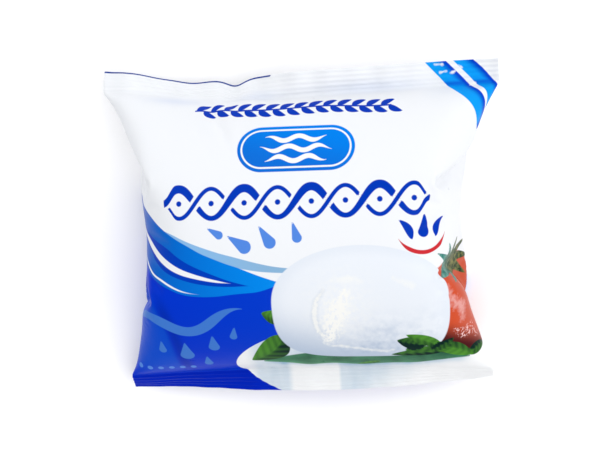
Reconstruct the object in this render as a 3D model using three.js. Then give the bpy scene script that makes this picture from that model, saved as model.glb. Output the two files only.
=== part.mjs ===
// A sealed pillow pouch of printed film, filled with one soft ball and its liquid, lying on its back.
// Millimetres. +X runs across the pouch, +Y from its bottom seal to its top seal, +Z out of its front.
// The film is a closed sleeve with a crimped seal at each end. It is laid out flat, filled until it
// holds its contents, and lies on the floor: what it can't stretch to take up, it folds.
import * as THREE from "three";

// Driving dimensions of the flat, empty pouch.
const FILM_WIDTH = 125; // between the two side folds
const FILM_HEIGHT = 118; // between the two cut edges
const SEAL_HEIGHT = 7; // of the crimped band at each end
const SEAL_THICKNESS = 0.6; // crest to crest over the crimps
const FIN_WIDTH = 10; // the seam down the middle of the back, folded flat
const FIN_THICKNESS = 0.5;
const CONTENTS = 240e3; // cubic millimetres of ball, liquid and air

// The film's grid: columns across one face, rows in the body and rows in each seal.
const COARSE = { columns: 48, bodyRows: 40, sealRows: 2 };
const FINE = { columns: 96, bodyRows: 80, sealRows: 4 };

// How the film takes load. Pushes and weights are per step, as the film settles and doesn't swing.
const SHEAR_HOLD = 0.6;
const BEND_HOLD = 0.2;
const SEAL_SPANS = [1 / 16, 1 / 8, 1 / 4]; // of the width: how far along itself a seal keeps straight
const FOOT_SEAL_HOLD = 0.5;
const HEAD_SEAL_HOLD = 0.05;
const FILM_WEIGHT = 0.0025;
const LIQUID_HEAD = 0.05; // extra pressure at HEAD_DEPTH below the top
const FOOT_HEAD = 0.1; // extra pressure at HEAD_DEPTH towards the bottom seal
const HEAD_DEPTH = 50;
const PRESSURE = { gain: 3, lowest: -0.2, highest: 1 }; // for the share of the contents still to take in
const LAYER_GAP = 0.4; // the two faces stay this far apart
const FLOOR_DRAG = 0.5; // share of a slide that the floor takes away
const START = { height: 20, bulge: 0.02 }; // of the film as it is laid out, and how far its faces part
const SWEEPS = 2;
const SETTLE = { steps: 1100, keep: 0.92, pace: 0.6 };
const SMOOTH = { steps: 200, keep: 0.9, pace: 0.3 };

// Where the film is pushed: a place on the flat film, how far the push reaches, and its direction.
// Side tucks draw the side folds in, the bottom corners droop, and the top seal curls along its length.
const TUCK = 0.014;
const DROOP = 0.006;
const CURL = 0.015;
const SIDE = FILM_WIDTH / 2;
const PUSHES = [
  { at: [-SIDE, 86], reach: [9, 7], push: [TUCK, 0, 0] },
  { at: [-SIDE, 38], reach: [9, 7], push: [TUCK, 0, 0] },
  { at: [SIDE, 82], reach: [9, 7], push: [-TUCK, 0, 0] },
  { at: [SIDE, 44], reach: [9, 7], push: [-TUCK, 0, 0] },
  { at: [-SIDE, 0], reach: [20, 12], push: [DROOP / 2, 0, -DROOP] },
  { at: [SIDE, 0], reach: [20, 12], push: [-DROOP / 2, 0, -DROOP] },
  { at: [-28, FILM_HEIGHT], reach: [11, 9], push: [0, 0, -CURL] },
  { at: [8, FILM_HEIGHT], reach: [12, 9], push: [0, 0, CURL / 2] },
];

// How far the side folds lie in or out from where the film settles: a place on the flat film, how
// far the shift reaches, and the shift across. The bottom seal gathers, so its ends draw in.
const SHIFTS = [
  { at: [-SIDE, 7], reach: [34, 16], most: 4.3 },
  { at: [-SIDE, 38], reach: [24, 8], most: -2.6 },
  { at: [-SIDE, 60], reach: [24, 14], most: 3 },
  { at: [-SIDE, 104], reach: [24, 9], most: 1.3 },
  { at: [SIDE, 7], reach: [34, 14], most: -3.1 },
  { at: [SIDE, 41], reach: [24, 9], most: 2.8 },
  { at: [SIDE, 64], reach: [24, 12], most: -1.2 },
  { at: [SIDE, 86], reach: [24, 11], most: 3.8 },
];

// A film of rows x 2·columns points: columns 0 to n run along the front from left to right,
// and n to 2n along the back from right to left, so that column 2n is column 0 again.
function flatFilm({ columns, bodyRows, sealRows }) {
  const heights = [];
  for (let j = 0; j < sealRows; j++) heights.push((SEAL_HEIGHT * j) / sealRows);
  for (let j = 0; j <= bodyRows; j++)
    heights.push(SEAL_HEIGHT + ((FILM_HEIGHT - 2 * SEAL_HEIGHT) * j) / bodyRows);
  for (let j = sealRows - 1; j >= 0; j--)
    heights.push(FILM_HEIGHT - (SEAL_HEIGHT * j) / sealRows);
  const around = 2 * columns;
  const across = [];
  for (let c = 0; c < around; c++)
    across.push(-SIDE + (FILM_WIDTH * (c <= columns ? c : around - c)) / columns);
  const rows = heights.length;
  const film = { columns, around, rows, heights, across, points: new Float64Array(rows * around * 3) };
  film.sealed = heights.map((v) => v <= SEAL_HEIGHT + 1e-6 || v >= FILM_HEIGHT - SEAL_HEIGHT - 1e-6);
  film.links = linksOf(film);
  film.pushes = pushesOn(film);
  film.areas = heights.map((v, j) => {
    const above = heights[Math.min(j + 1, rows - 1)];
    const below = heights[Math.max(j - 1, 0)];
    const spans = j === 0 || j === rows - 1 ? 1 : 2;
    return (((above - below) / spans) * FILM_WIDTH) / columns;
  });
  return film;
}

const offset = (film, j, c) => 3 * (j * film.around + (c % film.around));

// A link for each pair of points that hold each other: along, across, on the slant and one point on.
function linksOf(film) {
  const links = [];
  const step = FILM_WIDTH / film.columns;
  const add = (chosen, down, over, hold) => {
    for (let j = 0; j + down < film.rows; j++)
      for (let c = 0; c < film.around; c++)
        if (chosen(j, c)) {
          const rise = film.heights[j + down] - film.heights[j];
          links.push({
            a: offset(film, j, c),
            b: offset(film, j + down, c + over + film.around),
            rest: Math.hypot(over * step, rise),
            hold,
          });
        }
  };
  for (const half of [0, 1]) add((j, c) => c % 2 === half, 0, 1, 1);
  for (const half of [0, 1]) add((j) => j % 2 === half, 1, 0, 1);
  for (const over of [1, -1])
    for (const half of [0, 1]) add((j) => j % 2 === half, 1, over, SHEAR_HOLD);
  for (const half of [0, 1]) add((j, c) => (c >> 1) % 2 === half, 0, 2, BEND_HOLD);
  for (const half of [0, 1]) add((j) => (j >> 1) % 2 === half, 2, 0, BEND_HOLD);
  for (const span of SEAL_SPANS)
    for (const half of [0, 1])
      for (const [inSeal, hold] of [
        [(v) => v < FILM_HEIGHT / 2, FOOT_SEAL_HOLD],
        [(v) => v > FILM_HEIGHT / 2, HEAD_SEAL_HOLD],
      ]) {
        const over = film.columns * span;
        const onOneFace = (c) => c + over <= film.columns || (c >= film.columns && c + over <= film.around);
        const chosen = (j, c) =>
          film.sealed[j] && inSeal(film.heights[j]) && Math.floor(c / over) % 2 === half && onOneFace(c);
        add(chosen, 0, over, hold);
      }
  return links;
}

function pushesOn(film) {
  const field = new Float64Array(film.points.length);
  for (const { at, reach, push } of PUSHES)
    for (let j = 0; j < film.rows; j++)
      for (let c = 0; c < film.around; c++) {
        const across = (film.across[c] - at[0]) / reach[0];
        const along = (film.heights[j] - at[1]) / reach[1];
        const share = Math.exp(-across * across - along * along);
        for (let k = 0; k < 3; k++) field[offset(film, j, c) + k] += share * push[k];
      }
  return field;
}

// Lays the film out flat above the floor, with its two faces a little apart.
function layFlat(film) {
  for (let j = 0; j < film.rows; j++)
    for (let c = 0; c < film.around; c++) {
      const v = film.heights[j];
      const u = film.across[c];
      const inBody = Math.max(0, Math.min(v - SEAL_HEIGHT, FILM_HEIGHT - SEAL_HEIGHT - v));
      const face = c < film.columns ? 1 : -1;
      const bulge = START.bulge * inBody * Math.cos((Math.PI * u) / FILM_WIDTH) * face;
      film.points.set([u, v - FILM_HEIGHT / 2, bulge + START.height], offset(film, j, c));
    }
  return film;
}

// The outward area vector at each point, and the volume inside.
function outwardAreas(film) {
  const P = film.points;
  const areas = new Float64Array(P.length);
  let volume = 0;
  for (let j = 0; j + 1 < film.rows; j++)
    for (let c = 0; c < film.around; c++) {
      const a = offset(film, j, c);
      const b = offset(film, j, c + 1);
      const d = offset(film, j + 1, c);
      const e = offset(film, j + 1, c + 1);
      const ux = P[e] - P[a];
      const uy = P[e + 1] - P[a + 1];
      const uz = P[e + 2] - P[a + 2];
      const wx = P[d] - P[b];
      const wy = P[d + 1] - P[b + 1];
      const wz = P[d + 2] - P[b + 2];
      const n = [(uy * wz - uz * wy) / 2, (uz * wx - ux * wz) / 2, (ux * wy - uy * wx) / 2];
      for (let k = 0; k < 3; k++) {
        volume += (n[k] * (P[a + k] + P[b + k] + P[e + k] + P[d + k])) / 12;
        for (const corner of [a, b, d, e]) areas[corner + k] += n[k] / 4;
      }
    }
  film.sealed.forEach((sealed, j) => {
    if (sealed) areas.fill(0, offset(film, j, 0), offset(film, j, 0) + 3 * film.around);
  });
  return { areas, volume };
}

function pullLinks(film, P) {
  for (const { a, b, rest, hold } of film.links) {
    const x = P[b] - P[a];
    const y = P[b + 1] - P[a + 1];
    const z = P[b + 2] - P[a + 2];
    const length = Math.sqrt(x * x + y * y + z * z) + 1e-9;
    const share = (0.5 * hold * (length - rest)) / length;
    P[a] += share * x;
    P[a + 1] += share * y;
    P[a + 2] += share * z;
    P[b] -= share * x;
    P[b + 1] -= share * y;
    P[b + 2] -= share * z;
  }
}

// Joins the two faces in the seals and keeps them apart in the body.
function holdFaces(film, P) {
  for (let j = 0; j < film.rows; j++)
    for (let c = 0; c <= film.columns; c++) {
      const front = offset(film, j, c);
      const back = offset(film, j, film.around - c);
      if (film.sealed[j]) {
        for (let k = 0; k < 3; k++)
          P[front + k] = P[back + k] = 0.5 * (P[front + k] + P[back + k]);
      } else if (c > 0 && c < film.columns) {
        const lack = Math.max(0, LAYER_GAP - (P[front + 2] - P[back + 2])) / 2;
        P[front + 2] += lack;
        P[back + 2] -= lack;
      }
    }
}

// Nothing goes below the floor, and what rests on it drags.
function meetFloor(P, before) {
  for (let i = 0; i < P.length; i += 3)
    if (P[i + 2] < 0) {
      P[i + 2] = 0;
      P[i] += FLOOR_DRAG * (before[i] - P[i]);
      P[i + 1] += FLOOR_DRAG * (before[i + 1] - P[i + 1]);
    }
}

function settle(film, { steps, keep, pace }) {
  let before = film.points.slice();
  for (let step = 0; step < steps; step++) {
    const P = film.points;
    const { areas, volume } = outwardAreas(film);
    const lacking = (PRESSURE.gain * (CONTENTS - volume)) / CONTENTS;
    const pressure = Math.min(PRESSURE.highest, Math.max(PRESSURE.lowest, lacking));
    let top = -Infinity;
    for (let i = 2; i < P.length; i += 3) top = Math.max(top, P[i]);
    const next = new Float64Array(P.length);
    for (let i = 0; i < P.length; i += 3) {
      const head = 1 + (LIQUID_HEAD * (top - P[i + 2]) - FOOT_HEAD * P[i + 1]) / HEAD_DEPTH;
      const press = (pressure * head) / film.areas[Math.floor(i / 3 / film.around)];
      for (let k = i; k < i + 3; k++)
        next[k] = P[k] + keep * (P[k] - before[k]) + pace * (press * areas[k] + film.pushes[k]);
      next[i + 2] -= pace * FILM_WEIGHT;
    }
    before = P;
    for (let sweep = 0; sweep < SWEEPS; sweep++) {
      pullLinks(film, next);
      holdFaces(film, next);
      meetFloor(next, before);
    }
    film.points = next;
  }
  return film;
}

// Carries a settled film over to a finer grid: round the sleeve on one smooth curve for each row,
// then from row to row on curves that keep the slope at each row.
function refined(film, grid) {
  const fine = flatFilm(grid);
  const P = film.points;
  const rounds = [];
  for (let j = 0; j < film.rows; j++) {
    const round = new Float64Array(fine.around * 3);
    for (let c = 0; c < fine.around; c++) {
      const place = (c * film.around) / fine.around;
      const from = Math.floor(place);
      const t = place - from;
      const corners = [-1, 0, 1, 2].map((n) => offset(film, j, from + n + film.around));
      for (let k = 0; k < 3; k++) {
        const [p0, p1, p2, p3] = corners.map((i) => P[i + k]);
        const bend = 2 * p0 - 5 * p1 + 4 * p2 - p3;
        const turn = -p0 + 3 * p1 - 3 * p2 + p3;
        round[3 * c + k] = 0.5 * (2 * p1 + (p2 - p0) * t + bend * t * t + turn * t ** 3);
      }
    }
    rounds.push(round);
  }
  const slopes = rounds.map((round, j) => round.map((_, i) => slopeAt(film.heights, rounds, j, i)));
  fine.heights.forEach((v, j) => {
    let from = 0;
    while (from < film.rows - 2 && film.heights[from + 1] <= v + 1e-9) from++;
    const span = film.heights[from + 1] - film.heights[from];
    const t = (v - film.heights[from]) / span;
    const [t2, t3] = [t * t, t ** 3];
    for (let i = 0; i < fine.around * 3; i++)
      fine.points[j * fine.around * 3 + i] =
        (2 * t3 - 3 * t2 + 1) * rounds[from][i] +
        (t3 - 2 * t2 + t) * span * slopes[from][i] +
        (3 * t2 - 2 * t3) * rounds[from + 1][i] +
        (t3 - t2) * span * slopes[from + 1][i];
  });
  return fine;
}

function slopeAt(heights, rounds, j, i) {
  if (j === 0) return (rounds[1][i] - rounds[0][i]) / (heights[1] - heights[0]);
  if (j === heights.length - 1)
    return (rounds[j][i] - rounds[j - 1][i]) / (heights[j] - heights[j - 1]);
  const below = heights[j] - heights[j - 1];
  const above = heights[j + 1] - heights[j];
  const [low, here, high] = [rounds[j - 1][i], rounds[j][i], rounds[j + 1][i]];
  const sum = below ** 2 * high + (above ** 2 - below ** 2) * here - above ** 2 * low;
  return sum / (below * above * (below + above));
}

// Every second point of a film, both ways.
function thinned(film, grid) {
  const coarse = flatFilm(grid);
  const skip = film.columns / coarse.columns;
  for (let j = 0; j < coarse.rows; j++)
    for (let c = 0; c < coarse.around; c++) {
      const from = offset(film, j * skip, c * skip);
      coarse.points.set(film.points.subarray(from, from + 3), offset(coarse, j, c));
    }
  return coarse;
}

function shiftAcross(film) {
  for (const { at, reach, most } of SHIFTS)
    for (let j = 0; j < film.rows; j++)
      for (let c = 0; c < film.around; c++) {
        const across = (film.across[c] - at[0]) / reach[0];
        const along = (film.heights[j] - at[1]) / reach[1];
        film.points[offset(film, j, c)] += most * Math.exp(-across * across - along * along);
      }
  return film;
}

const pointAt = (film, j, c) => new THREE.Vector3().fromArray(film.points, offset(film, j, c));
const onFloor = (point) => point.setZ(Math.max(0, point.z));

// Gives the seals the thickness of two crimped films, from nothing at their two ends.
function thickenSeals(film) {
  const moved = film.points.slice();
  film.sealed.forEach((sealed, j) => {
    if (!sealed) return;
    for (let c = 1; c < film.columns; c++) {
      const along = pointAt(film, j, c + 1).sub(pointAt(film, j, c - 1));
      const above = pointAt(film, Math.min(j + 1, film.rows - 1), c);
      const up = above.sub(pointAt(film, Math.max(j - 1, 0), c));
      const out = along.cross(up).setLength(SEAL_THICKNESS / 2);
      onFloor(pointAt(film, j, c).add(out)).toArray(moved, offset(film, j, c));
      onFloor(pointAt(film, j, c).sub(out)).toArray(moved, offset(film, j, film.around - c));
    }
  });
  film.points = moved;
}

// Raises the back seam, which lies pressed flat where the pouch rests on it.
function raiseFin(film) {
  const { areas } = outwardAreas(film);
  for (let j = 0; j < film.rows; j++)
    for (let c = film.columns + 1; c < film.around; c++) {
      if (film.sealed[j] || Math.abs(film.across[c]) > FIN_WIDTH / 2) continue;
      const i = offset(film, j, c);
      const out = new THREE.Vector3().fromArray(areas, i).setLength(FIN_THICKNESS);
      onFloor(pointAt(film, j, c).add(out)).toArray(film.points, i);
    }
}

// Stands the pouch over the middle of its box, on the floor.
function centre(film) {
  const box = new THREE.Box3().setFromArray(film.points);
  const middle = box.getCenter(new THREE.Vector3()).setZ(box.min.z);
  for (let i = 0; i < film.points.length; i += 3)
    new THREE.Vector3().fromArray(film.points, i).sub(middle).toArray(film.points, i);
}

// The closed skin: the sleeve, each cell split along its shorter diagonal, and a narrow strip that
// shuts each cut edge between its two faces.
function skinOf(film) {
  const at = (j, c) => offset(film, j, c) / 3;
  const faces = [];
  const place = (i) => new THREE.Vector3().fromArray(film.points, 3 * i);
  const apart = (a, b) => place(a).distanceTo(place(b));
  const quad = (a, b, c, d) => {
    if (apart(a, c) <= apart(b, d)) faces.push(a, b, c, a, c, d);
    else faces.push(a, b, d, b, c, d);
  };
  for (let j = 0; j + 1 < film.rows; j++)
    for (let c = 0; c < film.around; c++)
      quad(at(j, c), at(j, c + 1), at(j + 1, c + 1), at(j + 1, c));
  const top = film.rows - 1;
  for (let c = 0; c < film.columns; c++) {
    const [back, backNext] = [film.around - c, film.around - c - 1];
    if (c > 0) {
      faces.push(at(0, c), at(0, back), at(0, c + 1));
      faces.push(at(top, c), at(top, c + 1), at(top, back));
    }
    if (c < film.columns - 1) {
      faces.push(at(0, c + 1), at(0, back), at(0, backNext));
      faces.push(at(top, c + 1), at(top, backNext), at(top, back));
    }
  }
  const skin = new THREE.BufferGeometry();
  skin.setAttribute("position", new THREE.Float32BufferAttribute(film.points, 3));
  skin.setIndex(faces);
  skin.computeVertexNormals();
  return skin;
}

function pouch() {
  const settled = settle(layFlat(flatFilm(COARSE)), SETTLE);
  const film = shiftAcross(thinned(settle(refined(settled, FINE), SMOOTH), COARSE));
  thickenSeals(film);
  raiseFin(film);
  centre(film);
  const printedFilm = new THREE.MeshStandardMaterial({ color: 0xeef2f8, roughness: 0.3, metalness: 0 });
  const mesh = new THREE.Mesh(skinOf(film), printedFilm);
  mesh.name = "pouch";
  return mesh;
}

const part = new THREE.Group();
part.add(pouch());

export default part;
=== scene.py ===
"""A sealed pillow pouch of printed film, filled and lying on its back, in Blender 4.5.

The film is settled as in the CAD model: a closed sleeve laid out flat, filled until it holds its
contents, and left to lie on the floor. Here it goes on to a finer grid, with crimped seals and a
fin seam folded flat. Its print, along with some painted shade and highlights, is a set of distances
on the flat film, one for each shape, which the material turns into crisp fields of colour. Lengths
are millimetres until the mesh is made.
"""

import math
from types import SimpleNamespace as Values

import bpy
import numpy as np
from mathutils import Matrix, Vector


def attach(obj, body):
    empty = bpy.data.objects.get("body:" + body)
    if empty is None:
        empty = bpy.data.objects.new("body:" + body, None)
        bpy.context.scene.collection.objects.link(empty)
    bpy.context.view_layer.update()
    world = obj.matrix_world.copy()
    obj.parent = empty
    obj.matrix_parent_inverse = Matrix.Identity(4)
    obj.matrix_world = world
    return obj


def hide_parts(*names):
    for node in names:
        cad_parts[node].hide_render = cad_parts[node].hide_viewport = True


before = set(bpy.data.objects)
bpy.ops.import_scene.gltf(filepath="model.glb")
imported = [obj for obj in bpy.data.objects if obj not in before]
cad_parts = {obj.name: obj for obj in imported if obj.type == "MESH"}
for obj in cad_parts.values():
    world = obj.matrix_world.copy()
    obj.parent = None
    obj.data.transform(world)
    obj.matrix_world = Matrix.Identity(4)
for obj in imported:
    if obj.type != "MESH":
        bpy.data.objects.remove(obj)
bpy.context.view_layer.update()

# The flat, empty pouch.
FILM_WIDTH = 125.0
FILM_HEIGHT = 118.0
SEAL_HEIGHT = 7.0
CONTENTS = 240e3  # cubic millimetres
SIDE = FILM_WIDTH / 2
SEAL_EDGE = SEAL_HEIGHT + 1e-6  # the seal's inner edge, with room for rounding

# The settling: how the film holds its shape, its loads, and the grids that it settles on.
SHEAR_HOLD = 0.6
BEND_HOLD = 0.2
SEAL_SPANS = (1 / 16, 1 / 8, 1 / 4)  # of the width: how far along itself a seal keeps straight
FOOT_SEAL_HOLD = 0.5
HEAD_SEAL_HOLD = 0.05
FILM_WEIGHT = 0.0025
LIQUID_HEAD = 0.05
FOOT_HEAD = 0.1
HEAD_DEPTH = 50.0
PRESSURE = Values(gain=3.0, lowest=-0.2, highest=1.0)
LAYER_GAP = 0.4
FLOOR_DRAG = 0.5
START = Values(height=20.0, bulge=0.02)
SWEEPS = 2
STAGES = [
    (dict(columns=48, body_rows=40, seal_rows=2), dict(steps=1100, keep=0.92, pace=0.6)),
    (dict(columns=96, body_rows=80, seal_rows=4), dict(steps=200, keep=0.9, pace=0.3)),
    (dict(columns=192, body_rows=160, seal_rows=8), dict(steps=50, keep=0.85, pace=0.1)),
]

# Where the film is pushed: place on the flat film, reach, and push.
TUCK, DROOP, CURL = 0.014, 0.006, 0.015
PUSHES = [
    ((-SIDE, 86), (9, 7), (TUCK, 0, 0)), ((-SIDE, 38), (9, 7), (TUCK, 0, 0)),
    ((SIDE, 82), (9, 7), (-TUCK, 0, 0)), ((SIDE, 44), (9, 7), (-TUCK, 0, 0)),
    ((-SIDE, 0), (20, 12), (DROOP / 2, 0, -DROOP)), ((SIDE, 0), (20, 12), (-DROOP / 2, 0, -DROOP)),
    ((-28, FILM_HEIGHT), (11, 9), (0, 0, -CURL)), ((8, FILM_HEIGHT), (12, 9), (0, 0, CURL / 2)),
]

# How far the side folds lie in or out from where the film settles: place, reach, and shift across.
SHIFTS = [
    ((-SIDE, 7), (34, 16), 4.3), ((-SIDE, 38), (24, 8), -2.6),
    ((-SIDE, 60), (24, 14), 3.0), ((-SIDE, 104), (24, 9), 1.3),
    ((SIDE, 7), (34, 14), -3.1), ((SIDE, 41), (24, 9), 2.8),
    ((SIDE, 64), (24, 12), -1.2), ((SIDE, 86), (24, 11), 3.8),
]

# The finished skin: columns on each face, and rows.
FRONT_COLUMNS = 240
BACK_COLUMNS = 120
BODY_ROWS = 200
SEAL_ROWS = 24

# The seals.
SEAL_FILM = 0.3  # both layers of film together
CRIMP = Values(pitch=1.5, rise=0.13, fade=0.6)
RUFFLES = [(0.5, 31, 0.4), (0.4, 17, 2.2), (0.35, 9.3, 1.0)]  # share, wavelength, start
HEAD_RUFFLE = [(0.4, 22, 7), (0.5, 9, 0)]  # strength, and how far from the cut edge it starts and ends
FOOT_RUFFLE = [(0.15, 16, 7), (0.15, 9, 0)]
DIPS = [(-20, 3.8, -1.9), (-34, 5, -0.6), (-52, 6, 0.5)]  # of the head's cut edge: place, reach, shift
DIPS_FROM = 102  # the height where the film starts to shift with its cut edge

# The fin seam, folded flat on the back.
FIN_HALF = 5.0
FIN_PROUD = 0.45
FIN_LIFT_REACH = 5.0  # how far beside it the film is lifted where the pouch lies on it
FIN_EDGE_COLUMNS = [(0.85, 0.98), (1.05, 1.03)]  # shares of its half-width: a column moves from, to


def step_up(x, start, end):
    """Rises smoothly from 0 to 1 between start and end."""
    t = np.clip((x - start) / (end - start), 0, 1)
    return t * t * (3 - 2 * t)


def within(x, rise, fall):
    """Rises over one stretch and falls again over another."""
    return step_up(x, *rise) * (1 - step_up(x, *fall))


def soft_line(x, middle, reach):
    return np.exp(-(((x - middle) / reach) ** 2))


def soft_spot(across, heights, at, reach):
    return np.exp(-(((across - at[0]) / reach[0]) ** 2) - ((heights - at[1]) / reach[1]) ** 2)


def hermite(t, span, start, start_slope, end, end_slope):
    """A smooth way from one value and slope to the next ones."""
    first = (2 * t**3 - 3 * t**2 + 1) * start + (t**3 - 2 * t**2 + t) * span * start_slope
    return first + (3 * t**2 - 2 * t**3) * end + (t**3 - t**2) * span * end_slope


class Film:
    """Points of a sleeve, row by row.

    Columns 0 to n run left to right along the front, and n to 2n right to left along the back.
    """

    def __init__(self, columns, body_rows, seal_rows):
        self.columns, self.around = columns, 2 * columns
        self.heights = row_heights(body_rows, seal_rows)
        self.rows = len(self.heights)
        self.sealed = (self.heights <= SEAL_EDGE) | (self.heights >= FILM_HEIGHT - SEAL_EDGE)
        front = np.linspace(-SIDE, SIDE, columns + 1)
        self.across = np.concatenate([front, front[-2:0:-1]])
        self.areas = np.gradient(self.heights)[:, None, None] * FILM_WIDTH / columns
        self.links = self.make_links()
        self.pushes = np.zeros((self.rows, self.around, 3))
        for at, reach, push in PUSHES:
            share = soft_spot(self.across[None], self.heights[:, None], at, reach)
            self.pushes += share[..., None] * np.array(push)

    def make_links(self):
        """Pairs of points that hold each other, in sets of pairs that share no point."""
        row, column = np.indices((self.rows, self.around))
        step = FILM_WIDTH / self.columns
        links = []

        def add(chosen, down, over, hold):
            j, c = row[chosen], column[chosen]
            j, c = j[j + down < self.rows], c[j + down < self.rows]
            a = j * self.around + c
            b = (j + down) * self.around + (c + over) % self.around
            rest = np.hypot(over * step, self.heights[j + down] - self.heights[j])
            links.append((a, b, rest, hold))

        near = [(column, 0, 1, 1.0), (row, 1, 0, 1.0), (row, 1, 1, SHEAR_HOLD), (row, 1, -1, SHEAR_HOLD)]
        for turn, *form in (*near, (column // 2, 0, 2, BEND_HOLD), (row // 2, 2, 0, BEND_HOLD)):
            for half in (0, 1):
                add(turn % 2 == half, *form)
        low_half = self.heights < FILM_HEIGHT / 2
        for span in SEAL_SPANS:
            over = int(self.columns * span)
            on_one_face = column % self.columns + over <= self.columns
            for half in (0, 1):
                in_turn = on_one_face & (column // over % 2 == half)
                for in_seal, hold in ((low_half, FOOT_SEAL_HOLD), (~low_half, HEAD_SEAL_HOLD)):
                    add((self.sealed & in_seal)[:, None] & in_turn, 0, over, hold)
        return links

    def lay_flat(self):
        in_body = np.minimum(self.heights - SEAL_HEIGHT, FILM_HEIGHT - SEAL_HEIGHT - self.heights)
        in_body = np.clip(in_body, 0, None)
        face = np.where(np.arange(self.around) < self.columns, 1.0, -1.0)
        bulge = START.bulge * in_body[:, None] * np.cos(np.pi * self.across / FILM_WIDTH) * face
        across, up = np.broadcast_arrays(self.across, self.heights[:, None] - FILM_HEIGHT / 2)
        self.points = np.stack([across, up, bulge + START.height], axis=-1)
        return self

    def outward_areas(self):
        """The outward area vector at each point, and the volume inside."""
        low, high = self.points[:-1], self.points[1:]
        low_next, high_next = np.roll(low, -1, 1), np.roll(high, -1, 1)
        normal = 0.5 * np.cross(high_next - low, high - low_next)
        volume = (normal * (low + low_next + high + high_next)).sum() / 12
        areas = np.zeros_like(self.points)
        shared = (normal + np.roll(normal, 1, 1)) / 4
        areas[:-1] += shared
        areas[1:] += shared
        areas[self.sealed] = 0
        return areas, volume

    def settle(self, steps, keep, pace):
        before = self.points
        for _ in range(steps):
            here = self.points
            areas, volume = self.outward_areas()
            lacking = PRESSURE.gain * (CONTENTS - volume) / CONTENTS
            pressure = np.clip(lacking, PRESSURE.lowest, PRESSURE.highest)
            depth = here[..., 2].max() - here[..., 2:3]
            head = 1 + (LIQUID_HEAD * depth - FOOT_HEAD * here[..., 1:2]) / HEAD_DEPTH
            load = pressure * head * areas / self.areas + self.pushes
            new = here + keep * (here - before) + pace * load
            new[..., 2] -= pace * FILM_WEIGHT
            for _ in range(SWEEPS):
                self.hold_lengths(new)
                self.part_faces(new)
                under = new[..., 2] < 0
                new[under, 2] = 0
                new[under, :2] += FLOOR_DRAG * (here[under, :2] - new[under, :2])
            before, self.points = here, new

    def hold_lengths(self, new):
        flat = new.reshape(-1, 3)
        for a, b, rest, hold in self.links:
            gap = flat[b] - flat[a]
            length = np.sqrt((gap * gap).sum(1)) + 1e-9
            move = (0.5 * hold * (length - rest) / length)[:, None] * gap
            flat[a] += move
            flat[b] -= move

    def part_faces(self, new):
        """Joins the two faces in the seals, and keeps them a gap apart between the seals."""
        sealed = np.nonzero(self.sealed)[0][:, None]
        free = np.nonzero(~self.sealed)[0][:, None]
        front = np.arange(self.columns + 1)[None]
        back = (self.around - front) % self.around
        joined = 0.5 * (new[sealed, front] + new[sealed, back])
        new[sealed, front] = joined
        new[sealed, back] = joined
        upper = new[free, front[:, 1:-1], 2]
        lower = new[free, back[:, 1:-1], 2]
        lack = np.clip(LAYER_GAP - (upper - lower), 0, None) / 2
        new[free, front[:, 1:-1], 2] = upper + lack
        new[free, back[:, 1:-1], 2] = lower - lack


def row_heights(body_rows, seal_rows):
    seal = SEAL_HEIGHT * np.arange(seal_rows) / seal_rows
    body = np.linspace(SEAL_HEIGHT, FILM_HEIGHT - SEAL_HEIGHT, body_rows + 1)
    return np.concatenate([seal, body, FILM_HEIGHT - seal[::-1]])


def sampled(film, places, heights):
    """Points of the film at other columns, given as fractions of a column, and other heights."""
    first = np.floor(places).astype(int)
    t = (places - first)[None, :, None]
    p0, p1, p2, p3 = (film.points[:, (first + n) % film.around] for n in (-1, 0, 1, 2))
    bend = 2 * p0 - 5 * p1 + 4 * p2 - p3
    turn = -p0 + 3 * p1 - 3 * p2 + p3
    rounds = 0.5 * (2 * p1 + (p2 - p0) * t + bend * t**2 + turn * t**3)
    slopes = np.gradient(rounds, film.heights, axis=0)
    start = np.searchsorted(film.heights, heights + 1e-9, side="right") - 1
    start = np.clip(start, 0, film.rows - 2)
    span = (film.heights[start + 1] - film.heights[start])[:, None, None]
    t = (heights - film.heights[start])[:, None, None] / span
    return hermite(t, span, rounds[start], slopes[start], rounds[start + 1], slopes[start + 1])


def refined(film, fine):
    places = np.arange(fine.around) * film.around / fine.around
    fine.points = sampled(film, places, fine.heights)
    return fine


def shifted(across, heights):
    """How far the film lies to the right of where it settles."""
    return sum(shift * soft_spot(across, heights, at, reach) for at, reach, shift in SHIFTS)


def settled_film():
    film = None
    for grid, pace in STAGES:
        film = refined(film, Film(**grid)) if film else Film(**grid).lay_flat()
        film.settle(**pace)
    film.points[..., 0] += shifted(film.across[None], film.heights[:, None])
    return film


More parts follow.
